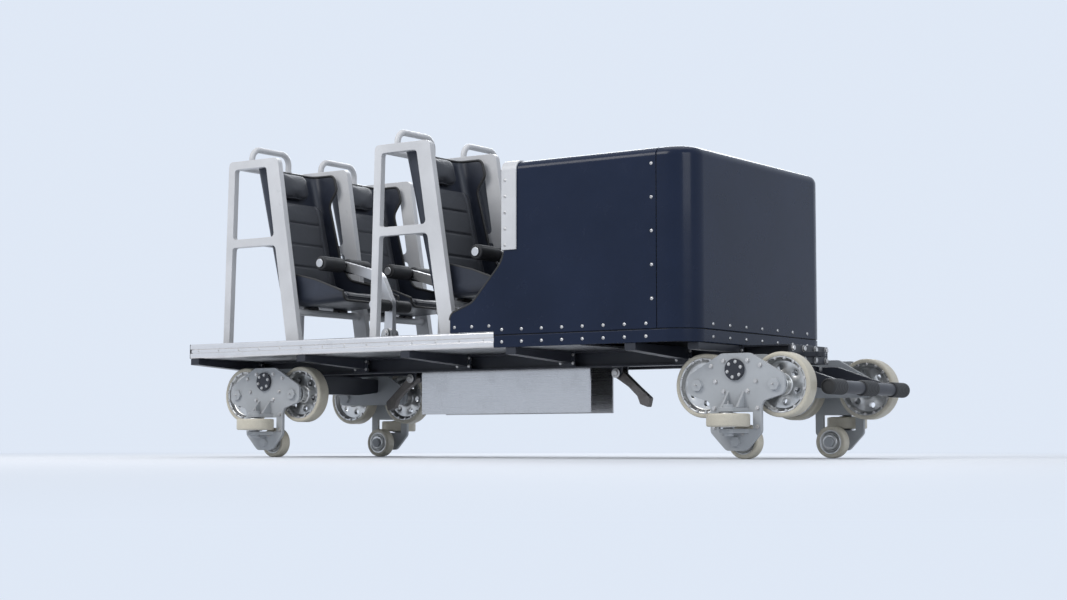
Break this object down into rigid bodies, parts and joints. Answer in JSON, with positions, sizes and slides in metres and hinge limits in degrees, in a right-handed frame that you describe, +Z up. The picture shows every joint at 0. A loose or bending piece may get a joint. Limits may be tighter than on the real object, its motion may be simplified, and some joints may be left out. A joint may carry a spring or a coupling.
{
  "type": "roller coaster car",
  "caption": "Lead car of a roller coaster train: rows of paired bucket seats with lap bars behind a box nose, on a chassis whose wheel carriers grip both rails.",
  "frame": {"origin": "on the floor below the middle of the car's outer box", "axes": "+X forward, +Y to the car's left, +Z up"},
  "size_m": [3.94, 1.432, 1.742],
  "materials": {
    "chassis_paint": "semi-gloss black-blue paint",
    "carrier_paint": "grey paint, worn at the edges",
    "frame_paint": "light grey paint",
    "nose_paint": "gloss blue-black paint",
    "seat_shell": "moulded, satin",
    "vinyl": "padded vinyl, fine grain",
    "foam": "skinned foam",
    "floor": "tread plate",
    "sill_metal": "brushed",
    "fin_steel": "worn bright by brakes",
    "liner": "textured",
    "wheel": "turned hub",
    "tread": "polyurethane tread",
    "bar_steel": "satin",
    "dog_steel": "bare, oiled",
    "fastener": "zinc-plated",
    "rubber_trim": "moulded"
  },
  "bodies": {
    "car": {"chassis_frame": "chassis_paint", "cross_members": "chassis_paint", "rear_axle": "chassis_paint", "floor_pan": "floor", "sills": "sill_metal", "brake_fins": "fin_steel", "rear_hitch": "chassis_paint", "nose_cowl": "nose_paint", "nose_trim": "frame_paint", "nose_bulkhead": "liner", "carrier_rear_left": "carrier_paint", "carrier_rear_right": "carrier_paint", "seat_frame_front": "frame_paint", "seat_frame_rear": "frame_paint", "seat_shells_front": "seat_shell", "seat_shells_rear": "seat_shell", "seat_pads_front": "vinyl", "seat_pads_rear": "vinyl"},
    "front_bogie": {"front_axle": "chassis_paint", "front_bumper": "chassis_paint", "carrier_front_left": "carrier_paint", "carrier_front_right": "carrier_paint"},
    "road_wheel_front_left_lead": {"road_wheel_front_left_lead": "wheel"},
    "road_wheel_front_left_trail": {"road_wheel_front_left_trail": "wheel"},
    "guide_wheel_front_left": {"guide_wheel_front_left": "wheel"},
    "upstop_wheel_front_left": {"upstop_wheel_front_left": "wheel"},
    "road_wheel_front_right_lead": {"road_wheel_front_right_lead": "wheel"},
    "road_wheel_front_right_trail": {"road_wheel_front_right_trail": "wheel"},
    "guide_wheel_front_right": {"guide_wheel_front_right": "wheel"},
    "upstop_wheel_front_right": {"upstop_wheel_front_right": "wheel"},
    "road_wheel_rear_left_lead": {"road_wheel_rear_left_lead": "wheel"},
    "road_wheel_rear_left_trail": {"road_wheel_rear_left_trail": "wheel"},
    "guide_wheel_rear_left": {"guide_wheel_rear_left": "wheel"},
    "upstop_wheel_rear_left": {"upstop_wheel_rear_left": "wheel"},
    "road_wheel_rear_right_lead": {"road_wheel_rear_right_lead": "wheel"},
    "road_wheel_rear_right_trail": {"road_wheel_rear_right_trail": "wheel"},
    "guide_wheel_rear_right": {"guide_wheel_rear_right": "wheel"},
    "upstop_wheel_rear_right": {"upstop_wheel_rear_right": "wheel"},
    "lap_bar_front_left": {"lap_bar_front_left": "bar_steel", "lap_foam_front_left": "foam"},
    "lap_bar_front_right": {"lap_bar_front_right": "bar_steel", "lap_foam_front_right": "foam"},
    "lap_bar_rear_left": {"lap_bar_rear_left": "bar_steel", "lap_foam_rear_left": "foam"},
    "lap_bar_rear_right": {"lap_bar_rear_right": "bar_steel", "lap_foam_rear_right": "foam"},
    "lift_dog": {"lift_dog": "dog_steel"},
    "rollback_dog": {"rollback_dog": "dog_steel"}
  },
  "joints": [
    {"name": "front_steer", "type": "hinge", "parent": "car", "child": "front_bogie", "pos_m": [1.54, 0, 0.41], "axis": [0, 0, 1], "range_deg": [-8, 8]},
    {"name": "road_wheel_front_left_lead_spin", "type": "hinge", "parent": "front_bogie", "child": "road_wheel_front_left_lead", "pos_m": [1.74, 0.45, 0.34], "axis": [0, 1, 0], "continuous": true},
    {"name": "road_wheel_front_left_trail_spin", "type": "hinge", "parent": "front_bogie", "child": "road_wheel_front_left_trail", "pos_m": [1.34, 0.45, 0.34], "axis": [0, 1, 0], "continuous": true},
    {"name": "guide_wheel_front_left_spin", "type": "hinge", "parent": "front_bogie", "child": "guide_wheel_front_left", "pos_m": [1.54, 0.616, 0.177], "axis": [0, 0, 1], "continuous": true},
    {"name": "upstop_wheel_front_left_spin", "type": "hinge", "parent": "front_bogie", "child": "upstop_wheel_front_left", "pos_m": [1.54, 0.45, 0.08], "axis": [0, 1, 0], "continuous": true},
    {"name": "road_wheel_front_right_lead_spin", "type": "hinge", "parent": "front_bogie", "child": "road_wheel_front_right_lead", "pos_m": [1.74, -0.45, 0.34], "axis": [0, 1, 0], "continuous": true},
    {"name": "road_wheel_front_right_trail_spin", "type": "hinge", "parent": "front_bogie", "child": "road_wheel_front_right_trail", "pos_m": [1.34, -0.45, 0.34], "axis": [0, 1, 0], "continuous": true},
    {"name": "guide_wheel_front_right_spin", "type": "hinge", "parent": "front_bogie", "child": "guide_wheel_front_right", "pos_m": [1.54, -0.616, 0.177], "axis": [0, 0, 1], "continuous": true},
    {"name": "upstop_wheel_front_right_spin", "type": "hinge", "parent": "front_bogie", "child": "upstop_wheel_front_right", "pos_m": [1.54, -0.45, 0.08], "axis": [0, 1, 0], "continuous": true},
    {"name": "road_wheel_rear_left_lead_spin", "type": "hinge", "parent": "car", "child": "road_wheel_rear_left_lead", "pos_m": [-1.18, 0.45, 0.34], "axis": [0, 1, 0], "continuous": true},
    {"name": "road_wheel_rear_left_trail_spin", "type": "hinge", "parent": "car", "child": "road_wheel_rear_left_trail", "pos_m": [-1.58, 0.45, 0.34], "axis": [0, 1, 0], "continuous": true},
    {"name": "guide_wheel_rear_left_spin", "type": "hinge", "parent": "car", "child": "guide_wheel_rear_left", "pos_m": [-1.38, 0.616, 0.177], "axis": [0, 0, 1], "continuous": true},
    {"name": "upstop_wheel_rear_left_spin", "type": "hinge", "parent": "car", "child": "upstop_wheel_rear_left", "pos_m": [-1.38, 0.45, 0.08], "axis": [0, 1, 0], "continuous": true},
    {"name": "road_wheel_rear_right_lead_spin", "type": "hinge", "parent": "car", "child": "road_wheel_rear_right_lead", "pos_m": [-1.18, -0.45, 0.34], "axis": [0, 1, 0], "continuous": true},
    {"name": "road_wheel_rear_right_trail_spin", "type": "hinge", "parent": "car", "child": "road_wheel_rear_right_trail", "pos_m": [-1.58, -0.45, 0.34], "axis": [0, 1, 0], "continuous": true},
    {"name": "guide_wheel_rear_right_spin", "type": "hinge", "parent": "car", "child": "guide_wheel_rear_right", "pos_m": [-1.38, -0.616, 0.177], "axis": [0, 0, 1], "continuous": true},
    {"name": "upstop_wheel_rear_right_spin", "type": "hinge", "parent": "car", "child": "upstop_wheel_rear_right", "pos_m": [-1.38, -0.45, 0.08], "axis": [0, 1, 0], "continuous": true},
    {"name": "lap_bar_front_left_hinge", "type": "hinge", "parent": "car", "child": "lap_bar_front_left", "pos_m": [0.34, 0.29, 0.662], "axis": [0, 1, 0], "range_deg": [0, 45]},
    {"name": "lap_bar_front_right_hinge", "type": "hinge", "parent": "car", "child": "lap_bar_front_right", "pos_m": [0.34, -0.29, 0.662], "axis": [0, 1, 0], "range_deg": [0, 45]},
    {"name": "lap_bar_rear_left_hinge", "type": "hinge", "parent": "car", "child": "lap_bar_rear_left", "pos_m": [-0.71, 0.29, 0.662], "axis": [0, 1, 0], "range_deg": [0, 45]},
    {"name": "lap_bar_rear_right_hinge", "type": "hinge", "parent": "car", "child": "lap_bar_rear_right", "pos_m": [-0.71, -0.29, 0.662], "axis": [0, 1, 0], "range_deg": [0, 45]},
    {"name": "lift_dog_hinge", "type": "hinge", "parent": "car", "child": "lift_dog", "pos_m": [0.57, 0, 0.43], "axis": [0, 1, 0], "range_deg": [-30, 0]},
    {"name": "rollback_dog_hinge", "type": "hinge", "parent": "car", "child": "rollback_dog", "pos_m": [-0.77, 0, 0.43], "axis": [0, 1, 0], "range_deg": [0, 30]}
  ]
}
